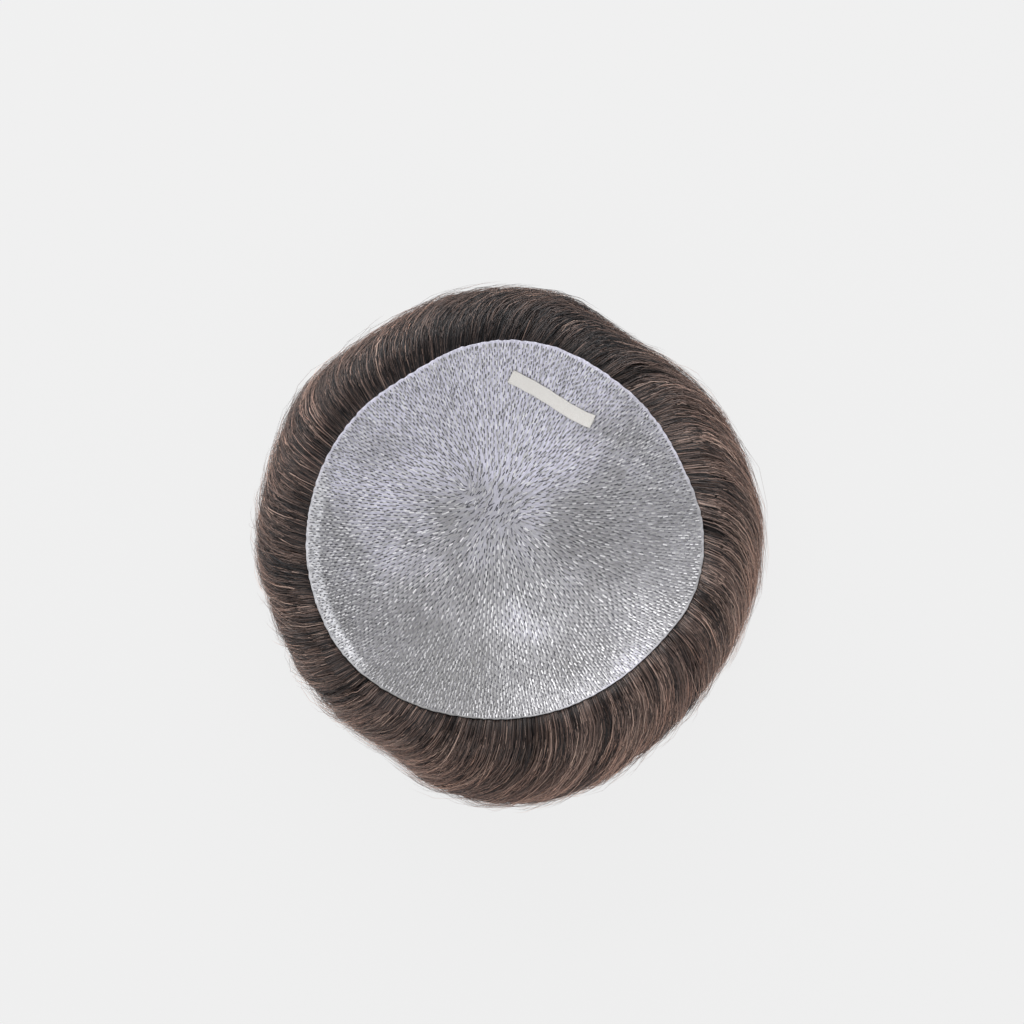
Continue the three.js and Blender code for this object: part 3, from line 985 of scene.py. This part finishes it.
def add_strands(name, count, size, first, last, lift, thick, tone, material, rooted=False,
                turning=(1, 0.16), steps=8, spread=0.035, loose=0.0):
    """Strands in clumps of a size, which start and end part of the way from the lip to the table.

    first, last, lift and thick are ranges, tone is a beta draw, and turning is the mean and the
    spread of a clump's share of the turn. Rooted strands come out of the rim, spread is how far
    apart a clump's roots lie, and loose is how far the tips stray.
    """
    clumps = max(1, count // size)
    owner = random.integers(0, clumps, count)
    root = random.uniform(0, 2 * np.pi, clumps)[owner] + random.normal(0, spread, count)
    begin = random.uniform(*first, count)
    end = random.uniform(*last, clumps)[owner] + random.normal(0, TIP_SCATTER, count)
    end = np.maximum(begin + SHORTEST, end)
    own_lift = random.uniform(*lift, clumps)[owner]
    tip_lift = own_lift + random.normal(0, 0.45 * MM, count)
    tip_lift = tip_lift + loose * np.abs(random.normal(0, 1, count))
    root_lift = own_lift * 0.4 + random.normal(-0.2 * MM, 0.5 * MM, count)
    turn = random.normal(*turning, clumps)[owner] + random.normal(0, 0.1 + 120 * loose, count)
    wave = random.normal(0, WAVE_HEIGHT, count)

    t = np.array(ROOT_STEPS) if rooted else np.linspace(0, 1, steps + 1)
    along = begin[:, None] + (end - begin)[:, None] * t
    turned = strand_turn(along, root[:, None]) - strand_turn(begin, root)[:, None]
    angle = root[:, None] - turned * turn[:, None]
    normal = hair_normal(along, angle)
    depth = root_lift[:, None] + (tip_lift - root_lift)[:, None] * t
    depth = depth + wave[:, None] * np.sin(2 * np.pi * (WAVES * t + root[:, None] * 7))
    if rooted:
        depth = depth + LIP_FILL * (1 - smooth_step(0, LIP_FILL_END, along))
    locks = lock_height(along, angle + turn_at(along))
    height = LOCK_SHARE * locks + (1 - LOCK_SHARE) * 0.6 * LOCK_RELIEF + depth
    path = hair_point(along, angle) + normal * height[..., None]
    if rooted:
        top = RIM_HEIGHT - 0.3 * MM - np.abs(random.normal(0, 0.4 * MM, count))
        under = (top[:, None] - path[..., 2]) / TOP_ROUND
        path[..., 2] = top[:, None] - TOP_ROUND * np.logaddexp(0, under)
        lead = (strand_turn(0.05, root) - strand_turn(0.0, root)) * turn
        path[:, 0] = bowl_offset(ROOT_SHARE, root + 1.8 * lead, -0.45 * MM)
        out = rim_radius(root + lead) + 0.5 * MM
        path[:, 1] = around_centre(out, root + 1.4 * lead, top - 0.15 * MM)
    path[..., 2] = np.maximum(path[..., 2], TABLE_GAP)
    tones = 0.1 + 0.7 * random.beta(*tone, clumps)[owner] + random.normal(0, TONE_SPREAD, count)
    tones = tones + around(TONE_SHIFTS, root)
    strand_mesh(name, path, normal, taper(count, thick, t), np.clip(tones, 0, 1), material)


strand_look = hair_material("hair_strands", 1.08, 0.33)
# The deep strands' material is the outer one at a third of its brightness: painted shade under the
# outer strands
deep_shaded_look = hair_material("hair_strands_deep_shaded", 0.36, 0.15)

add_strands("strands_deep", 2800, 20, (0.0, 0.04), (0.45, 0.9), (-1.9 * MM, -1.0 * MM), THICKER,
            (1.4, 3.0), deep_shaded_look, rooted=True)
add_strands("strands_rim_a", 3900, 22, (0.0, 0.03), (0.35, 0.75), (-1.2 * MM, 0.2 * MM), THICK,
            (1.5, 2.4), strand_look, rooted=True)
add_strands("strands_rim_b", 3900, 26, (0.0, 0.08), (0.5, 0.9), (-0.8 * MM, 0.6 * MM), THICK,
            (1.6, 2.0), strand_look, rooted=True)
add_strands("strands_side", 2600, 24, (0.2, 0.5), (0.8, 1.12), (-1.2 * MM, 0.4 * MM), THICK,
            (1.5, 2.2), strand_look, steps=6)
add_strands("strands_loose", 2600, 4, (0.0, 0.3), (0.4, 0.78), (0.2 * MM, 1.8 * MM), FINE,
            (3.0, 1.4), strand_look, turning=(1.25, 0.25), steps=6, spread=0.05, loose=1.4 * MM)


def add_under_strands(name, count):
    """Strands that leave the crown under the piece, spread over the table and reach its sides."""
    angle = random.uniform(0, 2 * np.pi, count)
    start = random.uniform(1.05, 1.27, count)
    end = random.uniform(0.72, 1.0, count)
    t = np.linspace(0, 1, 7)
    along = start[:, None] + (end - start)[:, None] * t
    turned = angle[:, None] - (0.9 + 0.3 * random.normal(0, 1, count))[:, None] * t**1.4 * 0.7
    normal = hair_normal(along, turned)
    lift = random.uniform(-1.2 * MM, 0.6 * MM, count)[:, None]
    height = LOCK_SHARE * lock_height(along, turned + turn_at(along)) + lift
    path = hair_point(along, turned) + normal * height[..., None]
    path[..., 2] = np.maximum(path[..., 2], TABLE_GAP)
    radii = taper(count, THICK, t)
    strand_mesh(name, path, normal, radii, random.beta(1.5, 2.2, count), strand_look)


add_under_strands("strands_under", 1300)

# Floor, light and camera

FLOOR = 6.0  # half its side
FLOOR_GLOW = 0.825  # what the photograph's even ground needs besides the light on it
SKY = (0.97, 0.98, 1.0, 1)
SKY_STRENGTH = 0.68
LIT_POINT = Vector((0, 0, 0.05))

floor_mesh = bpy.data.meshes.new("floor")
floor_mesh.from_pydata(
    [(-FLOOR, -FLOOR, 0), (FLOOR, -FLOOR, 0), (FLOOR, FLOOR, 0), (-FLOOR, FLOOR, 0)],
    [],
    [(0, 1, 2, 3)],
)
floor = bpy.data.objects.new("floor", floor_mesh)
bpy.context.scene.collection.objects.link(floor)
floor_look, paper_tree, paper = material_with("floor_paper", roughness=1.0, specular=0.0)
feed(paper_tree, paper, {
    "Base Color": (0.03, 0.03, 0.03, 1),
    "Emission Color": (1, 1, 1, 1),
    "Emission Strength": FLOOR_GLOW,
})
floor_mesh.materials.append(floor_look)

world = bpy.data.worlds.new("studio")
bpy.context.scene.world = world
world.use_nodes = True
feed(world.node_tree, world.node_tree.nodes["Background"], {"Color": SKY, "Strength": SKY_STRENGTH})


def softbox(name, place, size, power):
    light = bpy.data.lights.new(name, "AREA")
    light.shape = "RECTANGLE"
    light.size, light.size_y = size
    light.energy = power
    lamp = bpy.data.objects.new(name, light)
    lamp.location = place
    lamp.rotation_mode = "QUATERNION"
    lamp.rotation_quaternion = (LIT_POINT - Vector(place)).to_track_quat("-Z", "Y")
    bpy.context.scene.collection.objects.link(lamp)


softbox("back_light", (-0.3, 1.2, 0.65), (2.3, 1.2), 35)
softbox("front_light", (0.0, -1.3, 1.4), (1.6, 0.9), 11)

# The photograph's frame: a picture element is PIXEL wide at the rim's height
PIXEL = 0.4 * MM
IMAGE_SIDE = 1024
RIM_PLACE = (505, 528)
ELEVATION = 75 * DEGREE
DISTANCE = 2.6
SENSOR = 36
camera_data = bpy.data.cameras.new("camera")
camera = bpy.data.objects.new("camera", camera_data)
bpy.context.scene.collection.objects.link(camera)
bpy.context.scene.camera = camera
camera_data.sensor_width = SENSOR
camera_data.lens = SENSOR * DISTANCE / (PIXEL * IMAGE_SIDE)
towards = Vector((0, -math.cos(ELEVATION), math.sin(ELEVATION)))
right = Vector((1, 0, 0))
up = towards.cross(right)
target = (
    Vector((0, 0, RIM_HEIGHT))
    + right * (IMAGE_SIDE / 2 - RIM_PLACE[0]) * PIXEL
    + up * (RIM_PLACE[1] - IMAGE_SIDE / 2) * PIXEL
)
camera.location = target + towards * DISTANCE
camera.rotation_mode = "QUATERNION"
camera.rotation_quaternion = (-towards).to_track_quat("-Z", "Y")

bpy.context.scene.view_settings.view_transform = "Standard"
